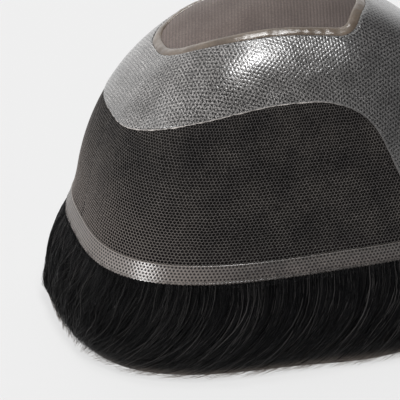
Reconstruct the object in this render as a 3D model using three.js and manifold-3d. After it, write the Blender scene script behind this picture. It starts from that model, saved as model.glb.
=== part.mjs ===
// A toupee turned base side out: the base stands as a dome, and the hair knotted to its other side
// lines the dome, comes out under the rim and carries the piece like a cushion.
// Millimetres, +Z up. The front hairline faces -Y, and the origin is on the surface under the middle.

import * as THREE from 'three';
import { ParametricGeometry } from 'three/addons/geometries/ParametricGeometry.js';
import { mergeVertices } from 'three/addons/utils/BufferGeometryUtils.js';
import Module from 'manifold-3d';

const wasm = await Module();
wasm.setup();

// Base dome; its lip flares out over the last FLARE_SHARE of the drop
const RIM_HALF_WIDTH = 53;
const RIM_HALF_LENGTH = 79;
const RIM_SQUARENESS = 3;
const CROWN_RISE = 84;
const SIDE_FLARE = 2.5;
const FRONT_FLARE = 3.5;
const FLARE_SHARE = 0.12;
const BASE_WALL = 1.2;
const GAP = 0.3;

// Panels of the base
const PANEL_TURN = -3;
const SKIN_RAISE = 0.2;
const RIBBON_WIDTH = 4.3;
const RIBBON_RAISE = 0.5;
const HEM_WIDTH = 6;
const HEM_RAISE = 0.4;

// Hair
const RIM_LIFT = 36;
const LINING_AT_CROWN = 5;
const LINING_AT_RIM = 8;
const HAIR_BULGE = 6.4;
const FRONT_CURL = 1.4;
const FOOT_WIDTH = 15;
const LOCKS = 32;
const LOCK_RISE = 2.4;
const LOCK_VARIATION = 0.35;
const LOCK_SWEEP = 26;
const SWEEP_BEND = 1.8;

// Fineness of the faceted solids
const COLUMNS = 56;
const DOME_DROPS = [0, 0.12, 0.24, 0.36, 0.47, 0.58, 0.69, 0.8, 0.9];
const LINING_DROPS = [0, 0.3, 0.55, 0.8];
const WINDOW_SAMPLES = 36;
const SKIN_SAMPLES = 60;
const COLUMNS_PER_LOCK = 4;

// Drop is 0 at the crown and 1 at the rim, bearing is degrees from the front to either side.
// The window is the inner edge of the ribbon, and the skin ends past the rim at the back.
const WINDOW_EDGE = [
  { bearing: 0, drop: 0.403 },
  { bearing: 7, drop: 0.399 },
  { bearing: 14, drop: 0.376 },
  { bearing: 22, drop: 0.335 },
  { bearing: 31, drop: 0.296 },
  { bearing: 43, drop: 0.264 },
  { bearing: 57, drop: 0.25 },
  { bearing: 80, drop: 0.253 },
  { bearing: 108, drop: 0.268 },
  { bearing: 121, drop: 0.277 },
  { bearing: 127, drop: 0.265 },
  { bearing: 140, drop: 0.221 },
  { bearing: 160, drop: 0.192 },
  { bearing: 180, drop: 0.187 },
];
const SKIN_EDGE = [
  { bearing: 0, drop: 0.645 },
  { bearing: 12, drop: 0.641 },
  { bearing: 21, drop: 0.624 },
  { bearing: 31, drop: 0.596 },
  { bearing: 41, drop: 0.566 },
  { bearing: 52, drop: 0.541 },
  { bearing: 66, drop: 0.524 },
  { bearing: 80, drop: 0.523 },
  { bearing: 92, drop: 0.529 },
  { bearing: 102, drop: 0.547 },
  { bearing: 110, drop: 0.577 },
  { bearing: 114.5, drop: 0.615 },
  { bearing: 117, drop: 0.658 },
  { bearing: 118.8, drop: 0.71 },
  { bearing: 121, drop: 0.771 },
  { bearing: 125, drop: 0.88 },
  { bearing: 130, drop: 1.04 },
  { bearing: 150, drop: 1.12 },
  { bearing: 180, drop: 1.12 },
];

// The hair under the rim, from the rim to the surface: bulge is a share of HAIR_BULGE beyond the
// rim, fall a share of RIM_LIFT below it.
const HAIR_FALL = [
  { bulge: 0.1, fall: 0 },
  { bulge: 0.55, fall: 0.16 },
  { bulge: 0.85, fall: 0.36 },
  { bulge: 1, fall: 0.6 },
  { bulge: 0.88, fall: 0.8 },
  { bulge: 0.58, fall: 0.93 },
  { bulge: 0.2, fall: 1 },
];

// How far the lining reaches down into the fall, as a share of RIM_LIFT
const TONGUE = 1 / 6;
const LINING_OVERLAP = 1;

const UP = new THREE.Vector3(0, 0, 1);
const GOLDEN_ANGLE = Math.PI * (3 - Math.sqrt(5));
const radians = THREE.MathUtils.degToRad;

// Plan distance from the middle to the rim, at a bearing in radians
function rimRadius(bearing) {
  const across = Math.abs(Math.sin(bearing)) / RIM_HALF_WIDTH;
  const along = Math.abs(Math.cos(bearing)) / RIM_HALF_LENGTH;
  return (across ** RIM_SQUARENESS + along ** RIM_SQUARENESS) ** (-1 / RIM_SQUARENESS);
}

function facePoint(bearing, drop) {
  const turn = drop * Math.PI / 2;
  const forward = Math.max(Math.cos(bearing), 0);
  const flare = SIDE_FLARE + (FRONT_FLARE - SIDE_FLARE) * forward ** 2;
  const lip = Math.max(1 - (1 - drop) / FLARE_SHARE, 0);
  const radius = (rimRadius(bearing) - flare) * Math.sin(turn) + flare * lip ** 2;
  const height = RIM_LIFT + CROWN_RISE * Math.cos(turn);
  return new THREE.Vector3(radius * Math.sin(bearing), -radius * Math.cos(bearing), height);
}

function faceNormal(bearing, drop) {
  if (drop === 0) return UP.clone();
  const step = 0.001;
  const down = facePoint(bearing, drop + step).sub(facePoint(bearing, drop - step));
  const round = facePoint(bearing + step, drop).sub(facePoint(bearing - step, drop));
  return down.cross(round).normalize();
}

// A point a little outside (raise above 0) or inside the dome's face
function raisedPoint(bearing, drop, raise) {
  return facePoint(bearing, drop).addScaledVector(faceNormal(bearing, drop), raise);
}

// A solid from a grid: point(row, turn) runs down the rows and round the piece by turn, 0 to 1.
// Rows that close on a pole leave triangles with no area there, which are dropped.
function gridSolid(point, rows, columns) {
  const write = (u, v, target) => target.copy(point(Math.round(u * (rows - 1)), v));
  const geometry = new ParametricGeometry(write, rows - 1, columns);
  geometry.deleteAttribute('normal');
  geometry.deleteAttribute('uv');
  const merged = mergeVertices(geometry);
  const corners = merged.index.array;
  const kept = [];
  for (let i = 0; i < corners.length; i += 3) {
    const [a, b, c] = corners.slice(i, i + 3);
    if (a !== b && b !== c && c !== a) kept.push(a, b, c);
  }
  const vertProperties = new Float32Array(merged.attributes.position.array);
  const triVerts = new Uint32Array(kept);
  return new wasm.Manifold(new wasm.Mesh({ numProp: 3, vertProperties, triVerts }));
}

// A closed loop of section points carried round the piece
function ringSolid(section, columns) {
  const loop = [...section, section[0]];
  return gridSolid((row, turn) => loop[row](turn * 2 * Math.PI), loop.length, columns);
}

// How much of the drop one millimetre takes beside the rim, where the wall is nearly upright
const DROP_PER_MM = 1 / (CROWN_RISE * Math.PI / 2);
const HEM_DROP = 1 - HEM_WIDTH * DROP_PER_MM;
const PANEL_DROP = HEM_DROP - GAP * DROP_PER_MM;

// The dome from crown to hem as a wall, its outer face raised
function baseShell(raise) {
  const drops = [...DOME_DROPS, PANEL_DROP];
  const outer = drops.map((drop) => [drop, raise]);
  const inner = drops.map((drop) => [drop, -BASE_WALL]).reverse();
  const rows = [...outer, ...inner];
  const point = (row, turn) => raisedPoint(turn * 2 * Math.PI, ...rows[row]);
  return gridSolid(point, rows.length, COLUMNS);
}

// Where the rays that cut the panels start, inside the dome, and how far past it they reach
const HUB = new THREE.Vector3(0, 0, RIM_LIFT + CROWN_RISE / 4);
const RAY_REACH = 1.6;

// The closed edge of a panel on the dome, moved sideways, away from the crown where shift is above 0
function panelEdge(table, samples, shift) {
  const right = table.map((row) => [row.bearing, row.drop]);
  const left = table.slice(1, -1).reverse().map((row) => [-row.bearing, row.drop]);
  const corners = [...right, ...left].map(([bearing, drop]) => (
    facePoint(radians(bearing + PANEL_TURN), drop)));
  const curve = new THREE.CatmullRomCurve3(corners, true, 'centripetal');
  return Array.from({ length: samples }, (_, i) => {
    const outward = curve.getPointAt(i / samples).sub(HUB).normalize();
    const sideways = curve.getTangentAt(i / samples).cross(outward).normalize();
    return curve.getPointAt(i / samples).addScaledVector(sideways, shift);
  });
}

// Everything that the hub sees through a panel's edge, out past the dome
function raysThrough(edge) {
  const top = new THREE.Vector3(0, 0, HUB.z + 2 * CROWN_RISE);
  const far = edge.map((point) => point.clone().sub(HUB).multiplyScalar(RAY_REACH).add(HUB));
  const ring = (turn) => far[Math.round(turn * far.length) % far.length];
  const rows = [() => top, ring, () => HUB];
  return gridSolid((row, turn) => rows[row](turn), rows.length, edge.length);
}

const inWindow = (shift) => raysThrough(panelEdge(WINDOW_EDGE, WINDOW_SAMPLES, shift));
const inSkin = (shift) => raysThrough(panelEdge(SKIN_EDGE, SKIN_SAMPLES, shift));

function crownWindow() {
  return baseShell(0).intersect(inWindow(-GAP));
}

function windowRibbon() {
  return baseShell(RIBBON_RAISE).intersect(inWindow(RIBBON_WIDTH)).subtract(inWindow(0));
}

function skinPanel() {
  return baseShell(SKIN_RAISE).intersect(inSkin(0)).subtract(inWindow(RIBBON_WIDTH + GAP));
}

function laceFront() {
  return baseShell(0).subtract(inSkin(GAP));
}

// A point of the hem's lower edge, which is level
function rimPoint(bearing, raise) {
  return raisedPoint(bearing, 1, raise).setZ(RIM_LIFT);
}

function edgeHem() {
  return ringSolid([
    (bearing) => raisedPoint(bearing, HEM_DROP, HEM_RAISE),
    (bearing) => rimPoint(bearing, HEM_RAISE),
    (bearing) => rimPoint(bearing, -BASE_WALL),
    (bearing) => raisedPoint(bearing, HEM_DROP, -BASE_WALL),
  ], COLUMNS);
}

// A point beside the rim in plan: out beyond the rim and below it
function besideRim(bearing, out, below) {
  const step = 0.001;
  const round = facePoint(bearing + step, 1).sub(facePoint(bearing - step, 1)).setZ(0);
  const outward = round.cross(UP).normalize();
  const point = facePoint(bearing, 1).addScaledVector(outward, out);
  return point.setZ(RIM_LIFT - below);
}

// The layer of hair on the hidden side of the base, with its lower end inside the fall of hair
function hairLining() {
  const behindBase = -(BASE_WALL + GAP);
  const depth = (drop) => LINING_AT_CROWN + (LINING_AT_RIM - LINING_AT_CROWN) * drop;
  const tongue = TONGUE * RIM_LIFT;
  const outer = [...DOME_DROPS, PANEL_DROP, 1].map((drop) => (
    (bearing) => raisedPoint(bearing, drop, behindBase)));
  const tip = (bearing) => besideRim(bearing, behindBase, tongue);
  const innerTip = (bearing) => besideRim(bearing, behindBase - LINING_AT_RIM, tongue);
  const inner = [...LINING_DROPS, 1].reverse().map((drop) => (
    (bearing) => raisedPoint(bearing, drop, behindBase - depth(drop))));
  const rows = [...outer, tip, innerTip, ...inner];
  return gridSolid((row, turn) => rows[row](turn * 2 * Math.PI), rows.length, COLUMNS);
}

// How far a lock stands out of the fall: 0 in the valleys beside it, most along its crest.
// The golden angle makes neighbours differ, and a lock is flatter at both ends.
function lockRelief(turn, fall) {
  const place = turn * LOCKS;
  const crest = Math.sin(Math.PI * (place % 1));
  const size = 1 + LOCK_VARIATION * Math.cos(GOLDEN_ANGLE * Math.floor(place));
  const taper = Math.sin(Math.PI * (0.15 + 0.7 * fall));
  return LOCK_RISE * size * taper * crest;
}

// A point of the fall of hair: the locks sweep towards the front on their way down
function fallPoint(turn, out, fall) {
  const start = turn * 2 * Math.PI;
  const bearing = start - radians(LOCK_SWEEP) * Math.sin(start) * fall ** SWEEP_BEND;
  const below = GAP + (RIM_LIFT - GAP) * fall;
  return besideRim(bearing, out, below);
}

function lockPoint(turn, row) {
  const forward = Math.max(Math.cos(turn * 2 * Math.PI), 0);
  const curl = FRONT_CURL * row.fall * forward ** 2;
  return fallPoint(turn, row.bulge * HAIR_BULGE + curl + lockRelief(turn, row.fall), row.fall);
}

// The fall of hair as a ring of locks, with a flat foot and a plain inner wall that the lining
// runs into
function hairFall() {
  const footOut = HAIR_FALL.at(-1).bulge * HAIR_BULGE - FOOT_WIDTH;
  const inside = -(BASE_WALL + GAP + LINING_AT_RIM + LINING_OVERLAP);
  const rows = [
    ...HAIR_FALL.map((row) => (turn) => lockPoint(turn, row)),
    (turn) => fallPoint(turn, footOut, 1),
    (turn) => fallPoint(turn, footOut, 0.7),
    (turn) => fallPoint(turn, inside, 1.2 * TONGUE),
    (turn) => fallPoint(turn, inside, 0),
  ];
  const loop = [...rows, rows[0]];
  return gridSolid((row, turn) => loop[row](turn), loop.length, LOCKS * COLUMNS_PER_LOCK);
}

function hair() {
  return hairFall().add(hairLining());
}

function pieceMesh(name, solid, colour, roughness) {
  const { vertProperties, triVerts } = solid.getMesh();
  const geometry = new THREE.BufferGeometry();
  geometry.setAttribute('position', new THREE.BufferAttribute(vertProperties, 3));
  geometry.setIndex(new THREE.BufferAttribute(triVerts, 1));
  const material = new THREE.MeshStandardMaterial({ color: colour, roughness, metalness: 0 });
  const mesh = new THREE.Mesh(geometry, material);
  mesh.name = name;
  return mesh;
}

const toupee = new THREE.Group();
toupee.add(
  pieceMesh('lace_front', laceFront(), 0x4a4541, 0.8),
  pieceMesh('skin_panel', skinPanel(), 0x8a8885, 0.25),
  pieceMesh('crown_window', crownWindow(), 0x7a6d62, 0.75),
  pieceMesh('window_ribbon', windowRibbon(), 0xa8988a, 0.5),
  pieceMesh('edge_hem', edgeHem(), 0x99938c, 0.45),
  pieceMesh('hair', hair(), 0x17171a, 0.4),
);

export default toupee;
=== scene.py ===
# %% [markdown]
# # A toupee lying base side up on its own hair
# The piece is a moulded cap of net, clear film and ribbon, with black hair knotted to its other side.
# It lies turned over, so the base stands as a dome and the hair spreads under the rim like a cushion.
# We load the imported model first. It is the fixed frame, and every piece here goes where it says.

# %% Load the frame
import math

import bmesh
import bpy
import numpy as np
from mathutils import Matrix, Vector, noise


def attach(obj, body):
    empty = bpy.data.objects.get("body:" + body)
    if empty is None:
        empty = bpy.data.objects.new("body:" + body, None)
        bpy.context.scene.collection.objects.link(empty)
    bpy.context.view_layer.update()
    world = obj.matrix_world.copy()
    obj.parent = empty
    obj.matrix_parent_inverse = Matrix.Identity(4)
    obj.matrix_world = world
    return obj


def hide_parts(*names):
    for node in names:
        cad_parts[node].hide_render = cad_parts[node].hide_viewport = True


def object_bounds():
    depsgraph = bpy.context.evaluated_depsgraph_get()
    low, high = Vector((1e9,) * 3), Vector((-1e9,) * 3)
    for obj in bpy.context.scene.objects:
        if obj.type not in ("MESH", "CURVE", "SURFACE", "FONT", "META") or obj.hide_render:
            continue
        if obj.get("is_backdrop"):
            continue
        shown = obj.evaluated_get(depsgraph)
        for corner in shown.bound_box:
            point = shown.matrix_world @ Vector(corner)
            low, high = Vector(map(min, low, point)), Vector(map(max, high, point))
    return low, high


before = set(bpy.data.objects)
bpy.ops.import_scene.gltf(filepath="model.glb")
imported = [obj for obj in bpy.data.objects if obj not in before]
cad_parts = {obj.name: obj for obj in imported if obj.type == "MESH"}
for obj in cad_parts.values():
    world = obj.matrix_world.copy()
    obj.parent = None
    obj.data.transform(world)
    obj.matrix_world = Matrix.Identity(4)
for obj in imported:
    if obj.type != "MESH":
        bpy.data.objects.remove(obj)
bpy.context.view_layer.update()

chance = np.random.default_rng(7)

# %% [markdown]
# ## The camera
# The picture is taken from the toupee's side, a little above it, with a long lens.
# A camera looks along its own -Z, so its three axes go into a rotation as right, up and back.

# %% Camera
camera = bpy.data.objects.new("camera", bpy.data.cameras.new("camera"))
bpy.context.scene.collection.objects.link(camera)
CAMERA_PLACE = Vector((0.55342, -0.20438, 0.33967))
back = Vector((0.84945, -0.26383, 0.45697))
right = Vector((0.29661, 0.95500, 0.0))
up = back.cross(right)
turned = Matrix((right, up, back)).transposed().to_4x4()
camera.matrix_world = Matrix.Translation(CAMERA_PLACE) @ turned
camera.data.sensor_width = 36
camera.data.lens = 161.76
camera.data.clip_start = 0.01
bpy.context.scene.camera = camera
print("camera lens:", camera.data.lens, "mm")

# %% [markdown]
# ## The studio
# A plain pale floor and soft lamps. The photograph is bright at the front of the piece and darker
# towards the back, so the surrounding and a lamp are bright before the hairline. The far side of the
# surrounding is bright too, for the glancing edge of the gloss. More lamps are placed
# where their mirror images fall on the film's shoulder, on the ribbon and on the bend of the hem.
# The floor glows a little, which keeps it as even as paper on a light table.

# %% Studio
def place_mesh(mesh_name, bm, smooth=True):
    mesh = bpy.data.meshes.new(mesh_name)
    bm.to_mesh(mesh)
    bm.free()
    for face in mesh.polygons:
        face.use_smooth = smooth
    piece = bpy.data.objects.new(mesh_name, mesh)
    bpy.context.scene.collection.objects.link(piece)
    return piece


def triangles(piece):
    return sum(len(face.vertices) - 2 for face in piece.data.polygons)


bm = bmesh.new()
bmesh.ops.create_grid(bm, x_segments=8, y_segments=8, size=4)
floor = place_mesh("studio_floor", bm)
floor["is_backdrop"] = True

world = bpy.data.worlds.new("studio")
world.use_nodes = True
sky = world.node_tree
directions = sky.nodes.new("ShaderNodeTexCoord").outputs["Generated"]
both_lobes = sky.nodes.new("ShaderNodeMath")
# Each lobe has its direction, the cosine where it starts, and its dimmest and brightest strength
LOBES = (((-0.45, -0.82, 0.35), 0.0, 0.13, 0.68), ((-0.92, 0.30, 0.25), 0.5, 0.0, 0.9))
LOBE_FULL = 0.95
for lobe, (towards, narrow, dim, bright) in enumerate(LOBES):
    facing = sky.nodes.new("ShaderNodeVectorMath")
    facing.operation = "DOT_PRODUCT"
    facing.inputs[1].default_value = Vector(towards).normalized()
    sky.links.new(directions, facing.inputs[0])
    brightness = sky.nodes.new("ShaderNodeMapRange")
    brightness.interpolation_type = "SMOOTHSTEP"
    for socket, value in (("From Min", narrow), ("From Max", LOBE_FULL), ("To Min", dim), ("To Max", bright)):
        brightness.inputs[socket].default_value = value
    sky.links.new(facing.outputs["Value"], brightness.inputs["Value"])
    sky.links.new(brightness.outputs[0], both_lobes.inputs[lobe])
sky.links.new(both_lobes.outputs[0], sky.nodes["Background"].inputs["Strength"])
sky.nodes["Background"].inputs["Color"].default_value = (1, 1, 1, 1)
bpy.context.scene.world = world
bpy.context.scene.view_settings.view_transform = "Standard"


def add_lamp(lamp_name, towards, strength, width):
    lamp = bpy.data.objects.new(lamp_name, bpy.data.lights.new(lamp_name, "SUN"))
    lamp.data.energy = strength
    lamp.data.angle = math.radians(width)
    lamp.rotation_mode = "QUATERNION"
    lamp.rotation_quaternion = (-Vector(towards)).to_track_quat("-Z", "Y")
    bpy.context.scene.collection.objects.link(lamp)


add_lamp("shoulder_lamp", (0.38, 0.07, 0.92), 1.6, 15)
add_lamp("ribbon_lamp", (0.0, 0.08, 0.99), 0.75, 15)
add_lamp("front_lamp", (-0.15, -0.93, 0.30), 0.4, 40)
add_lamp("hem_lamp", (0.50, -0.85, 0.13), 1.3, 16)

# %% [markdown]
# ## The dome
# A point of the base is given by its bearing round the head, from the front hairline, and by its
# drop, 0 at the crown and 1 at the rim. The rim is a rounded oblong in plan and flares out at its lip.

# %% Dome
HALF_WIDTH, HALF_LENGTH, CROWN, LIFT = 0.053, 0.079, 0.084, 0.036
RIM_SQUARENESS = 3
SIDE_FLARE, FRONT_FLARE, FLARE_SHARE = 0.0025, 0.0035, 0.12
HEM_WIDTH = 0.006
HEM_DROP = 1 - HEM_WIDTH / (CROWN * math.pi / 2)


def rim_radius(bearing):
    across = np.abs(np.sin(bearing)) / HALF_WIDTH
    along = np.abs(np.cos(bearing)) / HALF_LENGTH
    return (across**RIM_SQUARENESS + along**RIM_SQUARENESS) ** (-1 / RIM_SQUARENESS)


def rim_flare(bearing):
    """How far the lip turns out at the rim, most at the front."""
    return SIDE_FLARE + (FRONT_FLARE - SIDE_FLARE) * np.maximum(np.cos(bearing), 0) ** 2


def face_point(bearing, drop):
    turn = drop * np.pi / 2
    flare = rim_flare(bearing)
    lip = np.maximum(1 - (1 - drop) / FLARE_SHARE, 0)
    radius = (rim_radius(bearing) - flare) * np.sin(turn) + flare * lip**2
    height = LIFT + CROWN * np.cos(turn) + 0 * radius
    return np.stack([radius * np.sin(bearing), -radius * np.cos(bearing), height], -1)


def on_dome(bearing, drop, raised=0.0):
    """A point raised off the face along its normal, which is straight up at the crown itself."""
    bearing, drop, raised = np.broadcast_arrays(bearing, drop, raised)
    step = 1e-3
    safe = np.maximum(drop, 2 * step)
    down = face_point(bearing, safe + step) - face_point(bearing, safe - step)
    around = face_point(bearing + step, safe) - face_point(bearing - step, safe)
    normal = np.cross(down, around)
    normal /= np.linalg.norm(normal, axis=-1, keepdims=True)
    normal = np.where(drop[..., None] == 0, (0, 0, 1), normal)
    return face_point(bearing, drop) + raised[..., None] * normal


def drop_above_rim(bearing, distance):
    """The drop at a distance in metres up the dome from the rim, walked in short steps."""
    share, steps = np.zeros_like(distance), 24
    radius = rim_radius(bearing)
    for _ in range(steps):
        turn = (1 - share) * np.pi / 2
        speed = np.pi / 2 * np.hypot(radius * np.cos(turn), CROWN * np.sin(turn))
        share = share + distance / steps / speed
    return 1 - share


# %% [markdown]
# ## The panel edges
# Two closed lines cross the dome: the edge of the crown window and the edge of the film.
# Each runs smoothly through a few points, like a spline bent round pins, and can be moved
# sideways for the ribbon's width. The left side mirrors the right, and then both sides are turned
# together by three degrees.

# %% Panel edges
WINDOW_EDGE = ((0, .403), (7, .399), (14, .376), (22, .335), (31, .296), (43, .264), (57, .25), (80, .253),
               (108, .268), (121, .277), (127, .265), (140, .221), (160, .192), (180, .187))
FILM_EDGE = ((0, .645), (12, .641), (21, .624), (31, .596), (41, .566), (52, .541), (66, .524), (80, .523),
             (92, .529), (102, .547), (110, .577), (114.5, .615), (117, .658), (118.8, .71), (121, .771),
             (125, .88), (130, 1.04), (150, 1.12), (180, 1.12))
PANEL_TURN = math.radians(-3)
HUB = np.array((0, 0, LIFT + CROWN / 4))


def smooth_loop(points, count):
    """A closed centripetal spline through the points, as count points evenly spaced."""
    before, start, end, after = (np.roll(points, k, 0) for k in (1, 0, -1, -2))
    gap = lambda a, b: np.sqrt(np.linalg.norm(b - a, axis=1))[:, None, None]
    t1 = gap(before, start)
    t2 = t1 + gap(start, end)
    t3 = t2 + gap(end, after)
    t = t1 + (t2 - t1) * np.linspace(0, 1, 40, endpoint=False)[None, :, None]
    mix = lambda a, b, ta, tb: ((tb - t) * a + (t - ta) * b) / (tb - ta)
    p0, p1, p2, p3 = (p[:, None, :] for p in (before, start, end, after))
    first, second, third = mix(p0, p1, 0, t1), mix(p1, p2, t1, t2), mix(p2, p3, t2, t3)
    dense = mix(mix(first, second, 0, t2), mix(second, third, t1, t3), t1, t2).reshape(-1, 3)
    dense = np.vstack([dense, dense[:1]])
    run = np.concatenate([[0], np.cumsum(np.linalg.norm(np.diff(dense, axis=0), axis=1))])
    even = np.linspace(0, run[-1], count, endpoint=False)
    return np.stack([np.interp(even, run, dense[:, k]) for k in range(3)], -1)


def to_dome(points):
    """Bearing and drop where the rays from the hub through the points meet the dome."""
    bearing = np.arctan2(points[:, 0], -points[:, 1])
    drops = np.linspace(0, 1.1, 500)
    found = []
    for b, (x, y, z) in zip(bearing, points - HUB):
        shell = face_point(np.full_like(drops, b), drops) - HUB
        slope = np.arctan2(shell[:, 2], np.hypot(shell[:, 0], shell[:, 1]))
        found.append(np.interp(-math.atan2(z, math.hypot(x, y)), -slope, drops))
    return bearing, np.array(found)


def panel_edge(table, shift=0.0, count=400):
    """The bearings and drops along a panel's edge, moved sideways away from the crown by shift."""
    side = np.array(table, float)
    both = np.vstack([side, side[-2:0:-1] * (-1, 1)])
    loop = smooth_loop(face_point(np.radians(both[:, 0]) + PANEL_TURN, both[:, 1]), count)
    along = np.roll(loop, -1, 0) - np.roll(loop, 1, 0)
    outward = loop - HUB
    aside = np.cross(along, outward)
    aside /= np.linalg.norm(aside, axis=1, keepdims=True)
    return to_dome(loop + shift * aside)


def edge_drop(edge, bearing):
    """The drop of an edge at any bearing."""
    order = np.argsort(edge[0])
    wrapped = (bearing + np.pi) % (2 * np.pi) - np.pi
    return np.interp(wrapped, edge[0][order], edge[1][order], period=2 * np.pi)


film_edge = panel_edge(FILM_EDGE, count=900)
print("film reaches drop", round(float(film_edge[1].min()), 3), "at its shortest")

# %% [markdown]
# ## Sheets on the dome
# Most of the base is sheet. A flat grid is made with one operator and each vertex is then moved to
# its place, while its old place is kept as an attribute for the patterns of the cloth.

# %% Sheet helper
def sheet_on_dome(piece_name, columns, rows, place, closed=False, keep=None):
    """place takes shares along and across, and returns places in space and places in the flat cloth."""
    bm = bmesh.new()
    bmesh.ops.create_grid(bm, x_segments=columns, y_segments=rows, size=0.5)
    flat_layer = bm.verts.layers.float_vector.new("cloth")
    shares = np.array([v.co[:2] for v in bm.verts]) + 0.5
    places, flats = place(shares[:, 0], shares[:, 1])
    for vert, spot, flat in zip(bm.verts, places, flats):
        vert.co = spot
        vert[flat_layer] = flat
    if keep is not None:
        lost = [face for face in bm.faces if not keep(face.calc_center_median())]
        bmesh.ops.delete(bm, geom=lost, context="FACES")
    if closed:
        bmesh.ops.remove_doubles(bm, verts=bm.verts[:], dist=1e-6)
        if not any(edge.is_boundary for edge in bm.edges) and bm.calc_volume(signed=True) < 0:
            bmesh.ops.reverse_faces(bm, faces=bm.faces[:])
    return place_mesh(piece_name, bm)


def give_wall(piece, thickness):
    wall = piece.modifiers.new("wall", "SOLIDIFY")
    wall.thickness = thickness
    wall.offset = -1
    wall.use_even_offset = False
    return piece


def flattened(bearing, drop):
    """Places in the cloth before it was moulded: distance from the crown, laid out by bearing."""
    count = 8
    steps = np.linspace(0, 1, count + 1)[:, None] * drop
    turn = (steps[1:] + steps[:-1]) / 2 * np.pi / 2
    slope = np.hypot(rim_radius(bearing) * np.cos(turn), CROWN * np.sin(turn))
    reach = (np.pi / 2 * drop / count * slope).sum(0)
    return np.stack([reach * np.sin(bearing), -reach * np.cos(bearing), 0 * reach], -1)


def pucker(points, size, height):
    return height * np.array([noise.noise(Vector(p) / size) for p in points])


# %% [markdown]
# ## Shader helpers
# Each finish is one Principled shader with its constant values set on its own sockets.
# Patterns that several finishes share are node groups, made once.

# %% Shader helpers
def new_finish(finish_name, **values):
    finish = bpy.data.materials.new(finish_name)
    finish.use_nodes = True
    shader = finish.node_tree.nodes["Principled BSDF"]
    for socket, value in values.items():
        shader.inputs[socket.replace("_", " ")].default_value = value
    return finish, finish.node_tree, shader


def add(tree, kind, inputs=None, **settings):
    made = tree.nodes.new(kind)
    for setting, value in settings.items():
        setattr(made, setting, value)
    for socket, value in (inputs or {}).items():
        if isinstance(value, bpy.types.NodeSocket):
            tree.links.new(value, made.inputs[socket])
        else:
            made.inputs[socket].default_value = value
    return made


def math_node(tree, operation, *values):
    return add(tree, "ShaderNodeMath", dict(enumerate(values)), operation=operation).outputs[0]


def vector_math(tree, operation, *values, output=0):
    return add(tree, "ShaderNodeVectorMath", dict(enumerate(values)), operation=operation).outputs[output]


def mix_colour(tree, factor, first, second):
    """The Mix node keeps its factor in input 0 and its two colours in inputs 6 and 7."""
    return add(tree, "ShaderNodeMix", {0: factor, 6: first, 7: second}, data_type="RGBA").outputs[2]


def noise_at(tree, where, scale, detail):
    return add(tree, "ShaderNodeTexNoise", {"Vector": where, "Scale": scale, "Detail": detail}).outputs


def in_range(tree, value, low, high, to_low=0.0, to_high=1.0):
    return add(tree, "ShaderNodeMapRange",
               {"Value": value, "From Min": low, "From Max": high, "To Min": to_low, "To Max": to_high},
               interpolation_type="SMOOTHSTEP").outputs[0]


def new_group(group_name, inputs, outputs):
    group = bpy.data.node_groups.new(group_name, "ShaderNodeTree")
    for socket, kind, value in inputs:
        made = group.interface.new_socket(socket, in_out="INPUT", socket_type=kind)
        if value is not None:
            made.default_value = value
    for socket, kind in outputs:
        group.interface.new_socket(socket, in_out="OUTPUT", socket_type=kind)
    return group, group.nodes.new("NodeGroupInput").outputs, group.nodes.new("NodeGroupOutput").inputs


FLOAT, COLOUR, VECTOR = "NodeSocketFloat", "NodeSocketColor", "NodeSocketVector"

# %% [markdown]
# The film's knots and the ribbon's weave sit in staggered rows. Two square grids, one shifted by half a step
# both ways, make such rows: the mask is high within a small distance of the nearest grid point.

# %% Staggered dots group
staggered, given, wanted = new_group(
    "staggered_dots",
    [("Vector", VECTOR, None), ("Pitch", FLOAT, 0.0015), ("Row gap", FLOAT, 0.0013), ("Dot", FLOAT, 0.0004),
     ("Softness", FLOAT, 0.0003), ("Wander", FLOAT, 0.0)],
    [("Dots", FLOAT)])
wobble = noise_at(staggered, given["Vector"], 500.0, 1.0)["Color"]
wobble = vector_math(staggered, "SUBTRACT", wobble, (0.5, 0.5, 0.5))
wobble = add(staggered, "ShaderNodeVectorMath", {0: wobble, "Scale": given["Wander"]}, operation="SCALE")
spot = vector_math(staggered, "ADD", given["Vector"], wobble.outputs[0])
two_rows = math_node(staggered, "MULTIPLY", given["Row gap"], 2.0)
cell = add(staggered, "ShaderNodeCombineXYZ", {"X": given["Pitch"], "Y": two_rows, "Z": 1.0}).outputs[0]
share = vector_math(staggered, "DIVIDE", spot, cell)
reaches = []
for shift in (0.0, 0.5):
    inside = vector_math(staggered, "FRACTION", vector_math(staggered, "ADD", share, (shift, shift, 0)))
    inside = vector_math(staggered, "SUBTRACT", inside, (0.5, 0.5, 0))
    inside = vector_math(staggered, "MULTIPLY", inside, cell)
    inside = vector_math(staggered, "MULTIPLY", inside, (1, 1, 0))
    reaches.append(vector_math(staggered, "LENGTH", inside, output=1))
nearest = math_node(staggered, "MINIMUM", *reaches)
edge = math_node(staggered, "ADD", given["Dot"], given["Softness"])
staggered.links.new(in_range(staggered, nearest, given["Dot"], edge, 1.0, 0.0), wanted["Dots"])

# %% [markdown]
# Dyed thread and hair are never one even colour. This group drifts between two tones in soft
# patches and adds a fine speckle.

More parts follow.
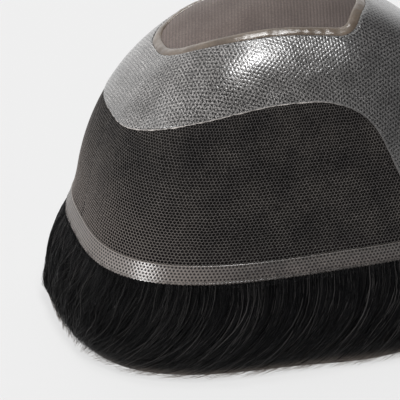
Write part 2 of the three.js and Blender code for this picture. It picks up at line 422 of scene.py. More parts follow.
# %% Uneven tone group
uneven, given, wanted = new_group(
    "uneven_tone",
    [("Vector", VECTOR, None), ("Dark", COLOUR, None), ("Light", COLOUR, None), ("Patch scale", FLOAT, 60.0),
     ("Speckle scale", FLOAT, 1500.0), ("Speckle", FLOAT, 0.3)],
    [("Color", COLOUR), ("Speckle", FLOAT)])
patches = noise_at(uneven, given["Vector"], given["Patch scale"], 3.0)["Fac"]
fine = noise_at(uneven, given["Vector"], given["Speckle scale"], 1.0)["Fac"]
toned = mix_colour(uneven, in_range(uneven, patches, 0.25, 0.75), given["Dark"], given["Light"])
centred = math_node(uneven, "SUBTRACT", fine, 0.5)
contrast = math_node(uneven, "MULTIPLY", given["Speckle"], 4.0)
strength = math_node(uneven, "ADD", math_node(uneven, "MULTIPLY", centred, contrast), 1.0)
grey = add(uneven, "ShaderNodeCombineXYZ", {"X": strength, "Y": strength, "Z": strength}).outputs[0]
uneven.links.new(vector_math(uneven, "MULTIPLY", toned, grey), wanted["Color"])
uneven.links.new(fine, wanted["Speckle"])


def put_group(tree, group, inputs):
    return add(tree, "ShaderNodeGroup", inputs, node_tree=group).outputs


def bump_into(tree, shader, height, distance, strength=1.0):
    bump = add(tree, "ShaderNodeBump", {"Height": height, "Distance": distance, "Strength": strength})
    tree.links.new(bump.outputs[0], shader.inputs["Normal"])


def coordinates(tree, attribute=None):
    if attribute:
        return add(tree, "ShaderNodeAttribute", attribute_name=attribute).outputs["Vector"]
    return add(tree, "ShaderNodeTexCoord").outputs["Object"]


# %% [markdown]
# The floor takes little light and glows a little by itself, so it stays pale and even.

# %% Floor finish
floor_finish, _, _ = new_finish("pale_floor", Base_Color=(0.15, 0.15, 0.15, 1), Roughness=1.0,
                                Specular_IOR_Level=0.0, Emission_Color=(1, 1, 1, 1), Emission_Strength=0.675)
floor.data.materials.append(floor_finish)

# %% [markdown]
# ## The net
# The lace at the front and sides is a honeycomb net with cells a little over a millimetre wide.
# It is real geometry here: one hexagon is repeated in rows, welded, and each cell is inset so that
# only its threads stay. The middle of each thread is raised, and a mirrored copy closes it below.
# The threads on the net's own border stay flat and single. The film and the hem's cords cover most of them.

# %% Net helper
NET_PITCH = 0.00117


def honeycomb(columns, pairs, pitch, keep, thread, crest):
    """A flat net of closed threads, from x = 0 and y = 0, of the cells that keep says."""
    bm = bmesh.new()
    bmesh.ops.create_circle(bm, cap_ends=True, segments=6, radius=pitch / math.sqrt(3))
    row_gap = pitch * math.sqrt(3) / 2
    whole = lambda: bm.verts[:] + bm.edges[:] + bm.faces[:]
    second = bmesh.ops.duplicate(bm, geom=whole())["geom"]
    bmesh.ops.translate(bm, verts=[g for g in second if isinstance(g, bmesh.types.BMVert)],
                        vec=(pitch / 2, row_gap, 0))
    for step, count in (((pitch, 0, 0), columns - 1), ((0, 2 * row_gap, 0), pairs - 1)):
        bmesh.ops.spin(bm, geom=whole(), cent=(0, 0, 0), axis=(0, 0, 1), angle=0, dvec=step, steps=count,
                       use_duplicate=True)
    bmesh.ops.remove_doubles(bm, verts=bm.verts[:], dist=pitch * 0.1)
    centres = np.array([face.calc_center_median() for face in bm.faces])
    kept = keep(centres[:, 0], centres[:, 1])
    bmesh.ops.delete(bm, geom=[face for face, stays in zip(bm.faces, kept) if not stays], context="FACES")
    cells, middles = bm.faces[:], [vert for vert in bm.verts if not vert.is_boundary]
    bmesh.ops.inset_individual(bm, faces=cells, thickness=thread / 2, use_even_offset=True)
    bmesh.ops.delete(bm, geom=cells, context="FACES_ONLY")
    bmesh.ops.translate(bm, verts=middles, vec=(0, 0, crest))
    under = bmesh.ops.duplicate(bm, geom=whole())["geom"]
    bmesh.ops.scale(bm, verts=[g for g in under if isinstance(g, bmesh.types.BMVert)], vec=(1, 1, -1))
    bmesh.ops.reverse_faces(bm, faces=[g for g in under if isinstance(g, bmesh.types.BMFace)])
    bmesh.ops.remove_doubles(bm, verts=bm.verts[:], dist=1e-7)
    return bm


def lay_net(piece_name, bm, place, smooth=True):
    flat_layer = bm.verts.layers.float_vector.new("cloth")
    flats = np.array([vert.co[:] for vert in bm.verts])
    for vert, flat, spot in zip(bm.verts, flats, place(*flats.T)):
        vert[flat_layer] = flat
        vert.co = spot
    return place_mesh(piece_name, bm, smooth)


net_line = np.radians(np.linspace(-180, 180, 1441))
line_points = face_point(net_line, np.full_like(net_line, 0.75))
net_run = np.concatenate([[0], np.cumsum(np.linalg.norm(np.diff(line_points, axis=0), axis=1))])
net_run -= np.interp(0, net_line, net_run)


def net_place(along, above):
    bearing = np.interp(along, net_run, net_line)
    return bearing, drop_above_rim(bearing, above)


# %% [markdown]
# The lace covers what the film leaves free, from the hem up. Its two halves meet at the front.

# %% Lace front
LACE_TUCK = 0.0005
SIDE_ARC = 0.12
LACE_END = 2.3
LACE_THREAD, LACE_CREST = 0.00026, 0.00012


def lace_half(side):
    def keep(x, y):
        bearing, drop = net_place(side * x, y + HEM_WIDTH)
        free = drop > edge_drop(film_edge, bearing) - LACE_TUCK / SIDE_ARC
        return free & (np.abs(bearing) < LACE_END)

    def place(x, y, z):
        drift = [pucker(np.stack([x, y, 0 * x + layer], -1), 0.005, 0.0003) for layer in (0.0, 0.05)]
        bearing, drop = net_place(side * (x + drift[0]), y + drift[1] * np.clip(y / 0.004, 0, 1) + HEM_WIDTH)
        return on_dome(bearing, drop, 0.0002 + z)

    bm = honeycomb(150, 32, NET_PITCH, keep, LACE_THREAD, LACE_CREST)
    if side < 0:
        bmesh.ops.reverse_faces(bm, faces=bm.faces[:])
    return lay_net("lace_net_right" if side > 0 else "lace_net_left", bm, place)


lace_nets = [lace_half(side) for side in (1, -1)]
print("lace triangles:", [triangles(piece) for piece in lace_nets])

# %% [markdown]
# Behind the net lie the roots of the hair, drawn through it knot by knot. A thin dark layer close
# behind the threads stands for them, so no light shows through the holes.

# %% Hair roots behind the lace
def roots_place(along, across):
    bearing = (along - 0.5) * 2 * np.radians(131)
    top = np.minimum(edge_drop(film_edge, bearing) - 0.012, HEM_DROP - 0.002)
    drop = top + (HEM_DROP - top) * across
    return on_dome(bearing, drop, -0.00045), flattened(bearing, drop)


lace_roots = give_wall(sheet_on_dome("lace_roots", 200, 24, roots_place), 0.0006)

# %% [markdown]
# ## The film
# Clear polyurethane over gauze, with the hair's knots showing through in rows. It runs round the
# window, over the shoulders and down to the hem at the back.

# %% Film panel
RIBBON_WIDTH = 0.0043
FILM_RAISE = 0.0002
film_inner = panel_edge(WINDOW_EDGE, RIBBON_WIDTH - 0.0006)
outline = np.radians(np.linspace(-180, 180, 3601))
outer_line = np.minimum(edge_drop(film_edge, outline), HEM_DROP - 0.0022)
outer_points = face_point(outline, outer_line)
outer_run = np.concatenate([[0], np.cumsum(np.linalg.norm(np.diff(outer_points, axis=0), axis=1))])
outer_run = outer_run / outer_run[-1]


def film_place(along, across):
    bearing = np.interp(along, outer_run, outline)
    inner = edge_drop(film_inner, bearing)
    outer = np.interp(bearing, outline, outer_line)
    drop = inner + (outer - inner) * across
    places = on_dome(bearing, drop, FILM_RAISE)
    lift = pucker(places, 0.014, 0.00022) + pucker(places, 0.005, 0.00007)
    edges = np.clip(np.minimum(across, 1 - across) * 12, 0, 1)
    return on_dome(bearing, drop, FILM_RAISE + lift * edges), flattened(bearing, drop)


film_panel = give_wall(sheet_on_dome("film_panel", 320, 44, film_place, closed=True), 0.0005)
print("film triangles:", 2 * triangles(film_panel))

# %% [markdown]
# ## Cords of a few sides
# Fine round things such as the film's raised edge and the hairs are tubes. A curve does this well:
# each spline takes a radius per point, and a small polygon is carried along it.
# A radius of zero closes an end once its points are welded.

# %% Tube helper
def tube_mesh(piece_name, paths, radii, sides):
    """Tubes along paths, each an array of points, with radii of the same length."""
    section = bpy.data.curves.new("section", "CURVE")
    ring = section.splines.new("POLY")
    ring.points.add(sides - 1)
    for k, point in enumerate(ring.points):
        turn = -2 * math.pi * k / sides
        point.co = (math.cos(turn), math.sin(turn), 0, 1)
    ring.use_cyclic_u = True
    carried = bpy.data.objects.new("section", section)
    curve = bpy.data.curves.new(piece_name, "CURVE")
    curve.dimensions = "3D"
    curve.bevel_mode = "OBJECT"
    curve.bevel_object = carried
    for path, radius in zip(paths, radii):
        spline = curve.splines.new("POLY")
        spline.points.add(len(path) - 1)
        spline.points.foreach_set("co", np.column_stack([path, np.ones(len(path))]).ravel())
        spline.points.foreach_set("radius", radius)
    holder = bpy.data.objects.new(piece_name, curve)
    bpy.context.scene.collection.objects.link(holder)
    made = bpy.data.meshes.new_from_object(holder.evaluated_get(bpy.context.evaluated_depsgraph_get()))
    bpy.data.objects.remove(holder)
    bpy.data.objects.remove(carried)
    share = made.attributes.new("along", "FLOAT", "POINT")
    shares = np.concatenate([np.repeat(np.linspace(0, 1, len(path)), sides) for path in paths])
    share.data.foreach_set("value", shares)
    tone = made.attributes.new("tone", "FLOAT", "POINT")
    tones = [np.full(len(path) * sides, chance.random()) for path in paths]
    tone.data.foreach_set("value", np.concatenate(tones))
    bm = bmesh.new()
    bm.from_mesh(made)
    bpy.data.meshes.remove(made)
    bmesh.ops.remove_doubles(bm, verts=bm.verts[:], dist=1e-7)
    return place_mesh(piece_name, bm)


# %% [markdown]
# The film ends on the lace in a thin raised bead where it was poured and trimmed.

# %% Film bead
BEAD_RADIUS = 0.00033
ends = np.abs(film_edge[0]) < np.radians(129)
bead_bearing, bead_drop = (values[ends] for values in film_edge)
order = np.argsort(bead_bearing)
bead_bearing, bead_drop = bead_bearing[order], bead_drop[order]
below_hem = bead_drop < HEM_DROP
bead_bearing, bead_drop = bead_bearing[below_hem], bead_drop[below_hem]
ragged = pucker(face_point(bead_bearing, bead_drop), 0.0016, 0.002)
bead_path = on_dome(bead_bearing, bead_drop + ragged, FILM_RAISE)
bead_radius = np.full(len(bead_path), BEAD_RADIUS) + pucker(bead_path, 0.0023, 0.00012)
bead_radius[[0, -1]] = 0
film_bead = tube_mesh("film_bead", [bead_path], [bead_radius], 8)

# %% [markdown]
# ## The crown window and its ribbon
# A square patch of fine ribbed mesh fills the crown. It is made as a flat grid that is
# projected up onto the dome, so that its ribs run straight across the head.

# %% Crown window
window_under = panel_edge(WINDOW_EDGE, 0.0018)
RIB_ALONG = np.array((0.297, 0.955))
RIB_PITCH, RIB_HEIGHT = 0.00112, 0.00007
PATCH_LENGTH, PATCH_BREADTH, PATCH_SHIFT = 0.082, 0.062, -0.011


def plan_to_dome(x, y):
    bearing = np.arctan2(x, -y)
    sine = np.hypot(x, y) / (rim_radius(bearing) - rim_flare(bearing))
    return bearing, np.arcsin(np.clip(sine, 0, 1)) * 2 / np.pi


def window_place(along, across):
    run, side = (along - 0.5) * PATCH_LENGTH, (across - 0.5) * PATCH_BREADTH
    x = run * RIB_ALONG[0] - side * RIB_ALONG[1]
    y = run * RIB_ALONG[1] + side * RIB_ALONG[0] + PATCH_SHIFT
    bearing, drop = plan_to_dome(x, y)
    ribs = RIB_HEIGHT * np.sin(2 * np.pi * run / RIB_PITCH)
    sag = pucker(np.stack([x, y, 0 * x], -1), 0.012, 0.00015)
    return on_dome(bearing, drop, 0.0001 + ribs + sag), np.stack([run, side, 0 * run], -1)


def inside_window(centre):
    bearing, drop = plan_to_dome(np.array([centre.x]), np.array([centre.y]))
    return drop[0] < edge_drop(window_under, bearing)[0]


crown_mesh = give_wall(sheet_on_dome("crown_mesh", 292, 40, window_place, keep=inside_window), 0.0004)

# %% [markdown]
# The ribbon is a satin tape sewn over the window's edge. Lines run beside that edge at even distances,
# and a grid is laid on them, crowned a little across its width and creased along its length.

# %% Window ribbon
RIBBON_COLUMNS, RIBBON_ROWS = 360, 10
RIBBON_LENGTH = 0.19
ribbon_shifts = np.linspace(0.0003, RIBBON_WIDTH - 0.0003, RIBBON_ROWS + 1)
ribbon_lines = [panel_edge(WINDOW_EDGE, shift, RIBBON_COLUMNS) for shift in ribbon_shifts]
ribbon_bearing = np.unwrap(np.array([line[0] for line in ribbon_lines]), axis=1)
ribbon_drop = np.array([line[1] for line in ribbon_lines])


def ribbon_place(along, across):
    column = np.round(along * RIBBON_COLUMNS).astype(int) % RIBBON_COLUMNS
    row = np.round(across * RIBBON_ROWS).astype(int)
    bearing, drop = ribbon_bearing[row, column], ribbon_drop[row, column]
    run = column / RIBBON_COLUMNS * RIBBON_LENGTH
    flat = np.stack([run, across * RIBBON_WIDTH, 0 * run], -1)
    crown = 0.0008 * np.sin(np.pi * across) ** 0.4 - 0.0003
    places = on_dome(bearing, drop, 0.0)
    creases = pucker(places, 0.006, 0.00025) + pucker(places * (1, 1, 0.5), 0.0018, 0.00012)
    return on_dome(bearing, drop, crown + creases * np.sin(np.pi * across)), flat


ribbon_sheet = sheet_on_dome("window_ribbon_cloth", RIBBON_COLUMNS, RIBBON_ROWS, ribbon_place, closed=True)
window_ribbon = give_wall(ribbon_sheet, 0.0003)

# %% [markdown]
# ## The hem
# The rim is bound in a doubled strip of the same net, stitched flat. A smooth band carries the
# inner layer, and a second honeycomb with thicker threads lies on it. Two fine cords edge the strip.

# %% Hem
HEM_RAISE, HEM_INSIDE = 0.0004, -0.0009
HEM_THREAD, HEM_CREST = 0.00048, 0.00002
DOME_ARC = 0.132
hem_section = ([(HEM_DROP + (1 - HEM_DROP) * k / 8, HEM_RAISE - 0.00015 * (k in (0, 8))) for k in range(9)]
               + [(1.0, HEM_INSIDE), (HEM_DROP + (1 - HEM_DROP) / 2, HEM_INSIDE), (HEM_DROP, HEM_INSIDE)])


def hem_place(along, across):
    bearing = (along * 2 - 1) * np.pi
    row = np.round(across * len(hem_section)).astype(int) % len(hem_section)
    drop = np.array([hem_section[k][0] for k in row])
    raised = np.array([hem_section[k][1] for k in row])
    points = on_dome(bearing, drop, raised)
    points[:, 2] = np.where(drop == 1.0, LIFT + 0.0001, points[:, 2])
    run = np.interp(bearing, net_line, net_run)
    return points, np.stack([run, (1 - drop) * DOME_ARC, 0 * run], -1)


hem_band = sheet_on_dome("hem_band", 360, len(hem_section), hem_place, closed=True)


def hem_half(side):
    place_net = lambda x, y: net_place(side * x, y + 0.0004)

    def keep(x, y):
        bearing, _ = place_net(x, y)
        return (y < HEM_WIDTH - 0.0008) & (side * bearing < 3.13)

    def place(x, y, z):
        bearing, drop = place_net(x, y)
        return on_dome(bearing, drop, HEM_RAISE + 0.00006 + z)

    bm = honeycomb(185, 3, NET_PITCH, keep, HEM_THREAD, HEM_CREST)
    if side < 0:
        bmesh.ops.reverse_faces(bm, faces=bm.faces[:])
    return lay_net("hem_net_right" if side > 0 else "hem_net_left", bm, place, smooth=False)


hem_nets = [hem_half(side) for side in (1, -1)]
print("hem triangles:", triangles(hem_band), [triangles(piece) for piece in hem_nets])


def ring_cord(cord_name, drop, raised, radius):
    """A closed cord round the whole base: its two ends meet and are welded."""
    turn = np.radians(np.linspace(-180, 180, 361))
    path = on_dome(turn, drop, raised)
    upward = Vector((0, 0, 1))
    bm = bmesh.new()
    bmesh.ops.create_grid(bm, x_segments=360, y_segments=6, size=0.5)
    for vert in bm.verts:
        column = round((vert.co.x + 0.5) * 360) % 360
        angle = round((vert.co.y + 0.5) * 6) % 6 * math.pi / 3
        along = Vector(path[column + 1] - path[column]).normalized()
        side = along.cross(upward).normalized()
        vert.co = Vector(path[column]) + radius * (math.cos(angle) * side + math.sin(angle) * upward)
    bmesh.ops.remove_doubles(bm, verts=bm.verts[:], dist=1e-6)
    if bm.calc_volume(signed=True) < 0:
        bmesh.ops.reverse_faces(bm, faces=bm.faces[:])
    return place_mesh(cord_name, bm)


hem_cords = [ring_cord("hem_cord_upper", HEM_DROP, 0.0003, 0.00025),
             ring_cord("hem_cord_lower", 0.998, 0.0002, 0.0003)]

# %% [markdown]
# ## The hair
# The hair comes out under the hem, bulges and falls to the floor, sweeping towards the front.
# A solid mass carries the shape of the locks, and thousands of fine tubes lie on it as hairs.

# %% Hair mass
FALL = np.array([(0, .1), (.16, .55), (.36, .85), (.6, 1), (.8, .88), (.93, .58), (1, .2)])
BULGE, CURL, LOCKS, LOCK_RISE = 0.0064, 0.0032, 32, 0.0013
FOOT_WIDTH = 0.015
SWEEP = math.radians(26)
GOLDEN_ANGLE = math.pi * (3 - math.sqrt(5))


def beside_rim(bearing, out, below):
    step = 1e-3
    around = face_point(bearing + step, 1.0) - face_point(bearing - step, 1.0)
    outward = np.stack([around[..., 1], -around[..., 0], 0 * around[..., 0]], -1)
    outward /= np.linalg.norm(outward, axis=-1, keepdims=True)
    points = face_point(bearing, 1.0) + np.asarray(out)[..., None] * outward
    points[..., 2] = LIFT - below
    return points


def smooth_bulge(fall):
    """A smooth line through the rows of FALL."""
    spots = np.linspace(0, 1, 101)
    rough = np.interp(spots, FALL[:, 0], FALL[:, 1])
    soft = np.convolve(np.pad(rough, 5, mode="edge"), np.ones(11) / 11, mode="valid")
    return np.interp(fall, spots, soft)


def lock_relief(start, fall):
    """Soft uneven locks: none at the hem, full in the middle of the fall."""
    place = start / (2 * np.pi) * LOCKS + 0.35 * np.sin(3 * start + 1) + 0.2 * np.sin(7 * start)
    crest = 0.5 - 0.5 * np.cos(2 * np.pi * place)
    small = 0.5 - 0.5 * np.cos(2 * np.pi * (2.7 * place + 0.3))
    size = 1 + 0.45 * np.cos(GOLDEN_ANGLE * np.floor(place))
    return LOCK_RISE * np.sin(np.pi * np.clip(fall, 0, 1) ** 0.8) * (0.7 * size * crest + 0.3 * small)


def fall_point(start, fall, out=0.0):
    """On the outside of the hair, below the rim at a starting bearing."""
    start, fall, out = np.broadcast_arrays(start, fall, out)
    bearing = start - SWEEP * np.sin(start) * np.maximum(fall, 0) ** 1.8
    forward = np.maximum(np.cos(start), 0)
    middle = np.sin(np.pi * np.clip(fall, 0, 1) ** 0.8)
    wide = (smooth_bulge(fall) - 0.1) * BULGE + CURL * fall * forward**2 + lock_relief(start, fall) + out
    # fuller at the sides than at the front, with one curl at the front and a wider foot at the back right
    wide = wide + middle * (0.0012 - 0.0018 * forward**2)
    wide = wide + 0.0018 * np.exp(-((start + 0.3) / 0.14) ** 2 - ((fall - 0.78) / 0.08) ** 2)
    wide = wide + 0.004 * np.exp(-((start - 2.2) / 0.35) ** 2) * np.clip(fall, 0, 1) ** 2
    return beside_rim(bearing, wide, 0.0003 + (LIFT - 0.0003) * fall)


def mass_rows(start):
    """The section of the mass at a starting bearing, from the crown outside to the crown inside."""
    behind = -0.0015
    for drop in (0, .15, .3, .45, .6, .75, .88, .952):
        yield on_dome(start, drop, behind)
    for fall in (0.0, .06, .12, .2, .3, .4, .5, .6, .7, .8, .88, .94, .98, 1.0):
        yield fall_point(start, fall, -0.0012)
    foot = 0.2 * BULGE - FOOT_WIDTH
    turned = start - SWEEP * np.sin(start)
    yield beside_rim(turned, np.full_like(start, foot * 0.5), LIFT)
    yield beside_rim(turned, np.full_like(start, foot), LIFT)
    yield beside_rim(start - SWEEP * np.sin(start) * 0.5, np.full_like(start, foot), LIFT * 0.7)
    yield beside_rim(start, np.full_like(start, -0.0105), LIFT * 0.24)
    for drop in (1, .9, .75, .6, .45, .3, .15, 0):
        yield on_dome(start, drop, behind - 0.005 - 0.003 * drop)


MASS_COLUMNS = 384
mass_starts = np.linspace(-np.pi, np.pi, MASS_COLUMNS + 1)
mass_grid = np.array([row for row in mass_rows(mass_starts)])


def mass_place(along, across):
    column = np.round(along * MASS_COLUMNS).astype(int) % MASS_COLUMNS
    row = np.round(across * (len(mass_grid) - 1)).astype(int)
    return mass_grid[row, column], np.stack([along, across, 0 * along], -1)


hair_mass = sheet_on_dome("hair_mass", MASS_COLUMNS, len(mass_grid) - 1, mass_place, closed=True)
print("hair mass triangles:", triangles(hair_mass))

# %% [markdown]
# Each hair starts under the hem, follows the fall with a little wave of its own, gathers towards
# the middle of its lock, and ends in a fine tip near the floor.

# %% Strands
STRAND_POINTS = 12
STRAND_RADIUS = 0.00011


def rim_starts(count, low, high):
    """Bearings spread evenly along the rim."""
    spread = np.interp(np.linspace(low, high, 200), net_line, net_run)
    runs = np.interp(np.sort(chance.random(count)), np.linspace(0, 1, 200), spread)
    return np.interp(runs, net_run, net_line)


def strand_radius(share, size):
    radius = STRAND_RADIUS * size * np.sin(np.pi * (0.04 + 0.93 * share)) ** 0.45
    radius[[0, -1]] = 0
    return radius


def outer_strands(count, low, high):
    """Strands that start under the hem between two bearings."""
    share = np.linspace(0, 1, STRAND_POINTS)
    paths, radii = [], []
    for start in rim_starts(count, low, high):
        untidy = 1 + 2.2 * math.exp(-((start - 0.05) / 0.55) ** 2)
        depth, loose = chance.random() ** 1.5, chance.random() < 0.10 * untidy
        reach = 1.0 if chance.random() < 0.7 else 0.72 + 0.28 * chance.random()
        fall = -0.05 + (reach + 0.05) * share
        down = np.clip(fall, 0, 1)
        centre = (math.floor(start / (2 * math.pi) * LOCKS) + 0.5) * 2 * math.pi / LOCKS
        lean = start + (centre - start) * 0.2 * down * (0.2 + chance.random())
        swing = chance.normal(0, 1, 2) * 0.011
        wave = swing * np.sin(np.outer(share, (2.2, 4.7)) * 2 + chance.random(2) * 6.28)
        drift = chance.normal(0, 0.045 if loose else 0.016)
        lean = lean + untidy * (wave.sum(1) + drift * down) * down**0.5
        ripple = (0.0009 if loose else 0.00035) * np.sin(share * 7 + chance.random() * 6.28)
        out = -0.0007 + 0.0013 * depth + ripple
        out = out - 0.004 * (np.clip(fall - 0.86, 0, 1) / 0.14) ** 2 * chance.random()
        out = np.minimum(out, 0.0016 * down)
        path = fall_point(lean, np.clip(fall, -0.05, 0.992), out)
        path[:, 2] = np.maximum(path[:, 2], 0.0003 + 0.0012 * chance.random())
        paths.append(path)
        radii.append(strand_radius(share, 0.5 + 0.6 * chance.random() ** 2))
    return paths, radii


FRONT_STRANDS, FRONT_SPAN = 1750, 1.5
STRETCHES = (("front", -0.75, 0.75), ("right", 0.75, 2.3), ("back", 2.3, 3.98), ("left", -2.3, -0.75))
strand_pieces = []
for side, low, high in STRETCHES:
    count = int(FRONT_STRANDS * (high - low) / FRONT_SPAN)
    paths, radii = outer_strands(count, low, min(high, np.pi))
    if high > np.pi:
        more = outer_strands(count // 2, -np.pi, high - 2 * np.pi)
        paths, radii = paths[::2] + more[0], radii[::2] + more[1]
    strand_pieces.append(tube_mesh("strands_" + side, paths, radii, 3))
print("strand triangles:", [triangles(piece) for piece in strand_pieces])

# %% [markdown]
# The cut ends of the hair stray out along the floor as a thin brownish fuzz.

# %% Stray ends
def stray_ends(count):
    share = np.linspace(0, 1, 7)
    paths, radii = [], []
    for start in rim_starts(count, -np.pi, np.pi):
        fall = 0.72 + 0.27 * share
        lean = start - np.sin(start) * 0.05 * share**2 + chance.normal(0, 0.03) * share
        out = 0.0002 + (0.0009 + 0.0022 * chance.random()) * share**1.5
        path = fall_point(lean, fall, out)
        path[:, 2] = np.maximum(path[:, 2], 0.0002 + 0.0035 * chance.random() ** 2)
        paths.append(path)
        radii.append(strand_radius(share, 0.3 + 0.3 * chance.random()))
    return paths, radii


stray_hair = tube_mesh("stray_ends", *stray_ends(1400), 3)

# %% [markdown]
# ## Finishes
# Colours are matched to the photograph, part by part. Three helpers come first: the uneven
# tone between two colours, rows of dots, and a mask that fades along the head, which lies along Y.

# %% Finish helpers
def uneven_tone(tree, where, dark, light, patch_scale, speckle_scale, speckle):
    return put_group(tree, uneven, {"Vector": where, "Dark": (*dark, 1), "Light": (*light, 1),
                                    "Patch scale": patch_scale, "Speckle scale": speckle_scale,
                                    "Speckle": speckle})


def dots(tree, cloth, pitch, row_gap, dot, softness, wander=0.0):
    return put_group(tree, staggered, {"Vector": cloth, "Pitch": pitch, "Row gap": row_gap, "Dot": dot,
                                       "Softness": softness, "Wander": wander})["Dots"]


def along_head(tree, start, end, to_low=0.0, to_high=1.0):
    spot = add(tree, "ShaderNodeSeparateXYZ", {0: coordinates(tree)}).outputs
    return in_range(tree, spot["Y"], start, end, to_low, to_high)


# %% [markdown]
# The net's threads, the layer under the hem and the roots are dyed fibre. They differ only in their
# two tones and their gloss. Along the front hairline the threads are paler low down: partly a real beige
# tint, partly painted light from the front.

# %% Dyed threads
def threads(finish_name, dark, light, rough, specular=0.3):
    finish, tree, shader = new_finish(finish_name, Roughness=rough, Specular_IOR_Level=specular)
    tone = uneven_tone(tree, coordinates(tree), dark, light, 90.0, 900.0, 0.4)
    tree.links.new(tone["Color"], shader.inputs["Base Color"])
    bump_into(tree, shader, tone["Speckle"], 0.00005)
    return finish


lace_thread = threads("lace_thread", (0.040, 0.036, 0.035), (0.072, 0.065, 0.060), 0.42)
hem_thread = threads("hem_thread", (0.043, 0.037, 0.033), (0.085, 0.073, 0.066), 0.26, 1.0)
hem_under = threads("hem_under", (0.012, 0.011, 0.011), (0.024, 0.021, 0.020), 0.6, 0.15)
root_dark = threads("root_hair", (0.0035, 0.0032, 0.0032), (0.008, 0.007, 0.0065), 0.7, 0.05)

# Paler low down at the front: partly the threads' beige tint, partly painted light where the front is lit.
PALE_AND_LIT_THREAD = (0.20, 0.172, 0.157, 1)
for finish, back, front, most in ((lace_thread, -0.03, -0.085, 0.7), (hem_thread, -0.025, -0.058, 0.65)):
    tree = finish.node_tree
    base = tree.nodes["Principled BSDF"].inputs["Base Color"]
    height = add(tree, "ShaderNodeSeparateXYZ", {0: coordinates(tree)}).outputs["Z"]
    low_down = in_range(tree, height, 0.078, 0.045)
    pale = math_node(tree, "MULTIPLY", along_head(tree, back, front, 0.0, most), low_down)
    tree.links.new(mix_colour(tree, pale, base.links[0].from_socket, PALE_AND_LIT_THREAD), base)
for piece in lace_nets:
    piece.data.materials.append(lace_thread)
for piece in [*hem_nets, *hem_cords]:
    piece.data.materials.append(hem_thread)
hem_band.data.materials.append(hem_under)
lace_roots.data.materials.append(root_dark)

# %% [markdown]
# The film is glossy over dark knots, with a dimple at each. A coat isn't disturbed by the bump below
# it, so a rougher coat adds a soft glow round the broken highlight. Towards the back the film's colour is
# darkened as painted shade.

# %% Film finish
KNOT_PITCH, KNOT_ROW_GAP, KNOT_WANDER = 0.00155, 0.00128, 0.0007
film, tree, shader = new_finish("film_over_gauze", Roughness=0.15, Specular_IOR_Level=0.7,
                                Coat_Weight=0.35, Coat_Roughness=0.25)
cloth = coordinates(tree, "cloth")
tone = uneven_tone(tree, cloth, (0.12, 0.115, 0.111), (0.205, 0.197, 0.192), 110.0, 2200.0, 1.9)
knots = dots(tree, cloth, KNOT_PITCH, KNOT_ROW_GAP, 0.00022, 0.00035, KNOT_WANDER)
# Painted shade: the film's colour darkens towards the back of the head.
behind = along_head(tree, -0.045, 0.03, 0.0, 0.7)
shaded_film_tone = mix_colour(tree, behind, tone["Color"], (0.03, 0.03, 0.031, 1))
tree.links.new(mix_colour(tree, knots, shaded_film_tone, (0.008, 0.0075, 0.0075, 1)), shader.inputs["Base Color"])
dimples = dots(tree, cloth, KNOT_PITCH, KNOT_ROW_GAP, 0.0, 0.00075, KNOT_WANDER)
bump_into(tree, shader, math_node(tree, "SUBTRACT", tone["Speckle"], dimples), 0.00005)
film_panel.data.materials.append(film)

# %% [markdown]
# The bead along the film's edge is pale where it crosses the front; towards the back its colour is darkened
# as painted shade.

# %% Bead finish
bead, tree, shader = new_finish("film_bead_clear", Roughness=0.25)
tone = uneven_tone(tree, coordinates(tree), (0.38, 0.35, 0.33), (0.58, 0.54, 0.51), 300.0, 1200.0, 0.4)
# Painted shade: the bead's colour darkens towards the back.
behind = along_head(tree, -0.012, 0.014)
tree.links.new(mix_colour(tree, behind, tone["Color"], (0.09, 0.085, 0.082, 1)), shader.inputs["Base Color"])
film_bead.data.materials.append(bead)

# %% [markdown]
# The window's mesh is matt and brown-grey, with a darker line along each of its ribs. Towards the back its
# colour is darkened as painted shade.

# %% Window finish
gauze, tree, shader = new_finish("crown_gauze", Roughness=0.6, Specular_IOR_Level=0.25)
cloth = coordinates(tree, "cloth")
tone = uneven_tone(tree, cloth, (0.10, 0.077, 0.069), (0.155, 0.124, 0.111), 70.0, 1600.0, 0.3)
run = add(tree, "ShaderNodeSeparateXYZ", {0: cloth}).outputs["X"]
ribs = math_node(tree, "SINE", math_node(tree, "MULTIPLY", run, 2 * math.pi / RIB_PITCH))
painted = mix_colour(tree, in_range(tree, ribs, -0.4, 0.9, 0.0, 0.4), tone["Color"], (0.06, 0.05, 0.046, 1))
# Painted shade: the mesh's colour darkens towards the back.
behind = along_head(tree, -0.045, 0.015, 0.0, 0.5)
tree.links.new(mix_colour(tree, behind, painted, (0.045, 0.034, 0.031, 1)), shader.inputs["Base Color"])
bump_into(tree, shader, tone["Speckle"], 0.0001)
crown_mesh.data.materials.append(gauze)

# %% [markdown]
# The ribbon is satin: a smooth gloss over a very fine weave, which is only bump.

# %% Ribbon finish
satin, tree, shader = new_finish("ribbon_satin", Roughness=0.2, Specular_IOR_Level=0.9, Sheen_Weight=0.05)
tone = uneven_tone(tree, coordinates(tree), (0.08, 0.059, 0.043), (0.14, 0.109, 0.083), 120.0, 1200.0, 0.15)
tree.links.new(tone["Color"], shader.inputs["Base Color"])
weave = dots(tree, coordinates(tree, "cloth"), 0.0005, 0.00025, 0.00003, 0.00018)
bump_into(tree, shader, math_node(tree, "ADD", weave, tone["Speckle"]), 0.000012)
window_ribbon.data.materials.append(satin)
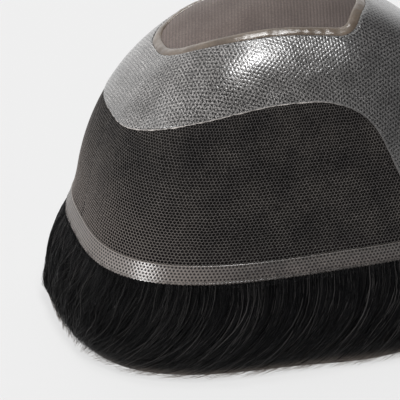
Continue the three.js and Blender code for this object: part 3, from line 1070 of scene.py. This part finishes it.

# %% [markdown]
# Each hair has a tone of its own, and about one in five is lighter: a painted highlight along single hairs.
# Every hair turns a little brown towards its tip. The stray ends turn pale, and the mass under the hairs is
# nearly black.

# %% Hair finishes
fibre, tree, shader = new_finish("black_hair", Roughness=0.36, Specular_IOR_Level=0.14)
tone = add(tree, "ShaderNodeAttribute", attribute_name="tone").outputs["Fac"]
along = add(tree, "ShaderNodeAttribute", attribute_name="along").outputs["Fac"]
# Painted highlight: about one hair in five gets a light colour, standing in for the sheen on single hairs.
highlit_hairs = in_range(tree, tone, 0.8, 1.0)
strand_colour = mix_colour(tree, highlit_hairs, (0.0022, 0.0022, 0.0026, 1), (0.055, 0.052, 0.051, 1))
near_tip = in_range(tree, along, 0.8, 1.0, 0.0, 0.3)
strand_colour = mix_colour(tree, near_tip, strand_colour, (0.05, 0.035, 0.025, 1))
tree.links.new(strand_colour, shader.inputs["Base Color"])
for piece in strand_pieces:
    piece.data.materials.append(fibre)

fuzz, tree, shader = new_finish("hair_end_fuzz", Roughness=0.5, Specular_IOR_Level=0.3)
along = add(tree, "ShaderNodeAttribute", attribute_name="along").outputs["Fac"]
near_tip = in_range(tree, along, 0.3, 0.95)
fuzz_colour = mix_colour(tree, near_tip, (0.006, 0.006, 0.006, 1), (0.22, 0.185, 0.16, 1))
tree.links.new(fuzz_colour, shader.inputs["Base Color"])
stray_hair.data.materials.append(fuzz)

mass, tree, shader = new_finish("hair_mass_dark", Roughness=0.6, Specular_IOR_Level=0.08)
tone = uneven_tone(tree, coordinates(tree), (0.0025, 0.0025, 0.003), (0.007, 0.0065, 0.0065),
                   200.0, 1500.0, 0.3)
tree.links.new(tone["Color"], shader.inputs["Base Color"])
bump_into(tree, shader, tone["Speckle"], 0.0003)
hair_mass.data.materials.append(mass)

# %% [markdown]
# ## Ties to the frame
# Every piece rides on the part's one body, and the nodes of the imported model that pieces stand
# for are hidden.

# %% Ride, replace and measure
stands_for = {"lace_front": (lace_nets, "lace"), "skin_panel": ([film_panel], "skin"),
              "crown_window": ([crown_mesh], "crown_mesh"), "window_ribbon": ([window_ribbon], "ribbon"),
              "edge_hem": ([hem_band, *hem_nets, *hem_cords], "hem"),
              "hair": ([hair_mass, *strand_pieces, stray_hair], "hair")}
for node_name, (pieces, slot) in stands_for.items():
    for piece in pieces:
        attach(piece, "root")
        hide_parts(node_name)
for piece, slot in ((lace_roots, "lace"), (film_bead, "skin")):
    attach(piece, "root")

low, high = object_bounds()
print("visual box in mm:", [round(1000 * v, 1) for v in (*low, *high)])
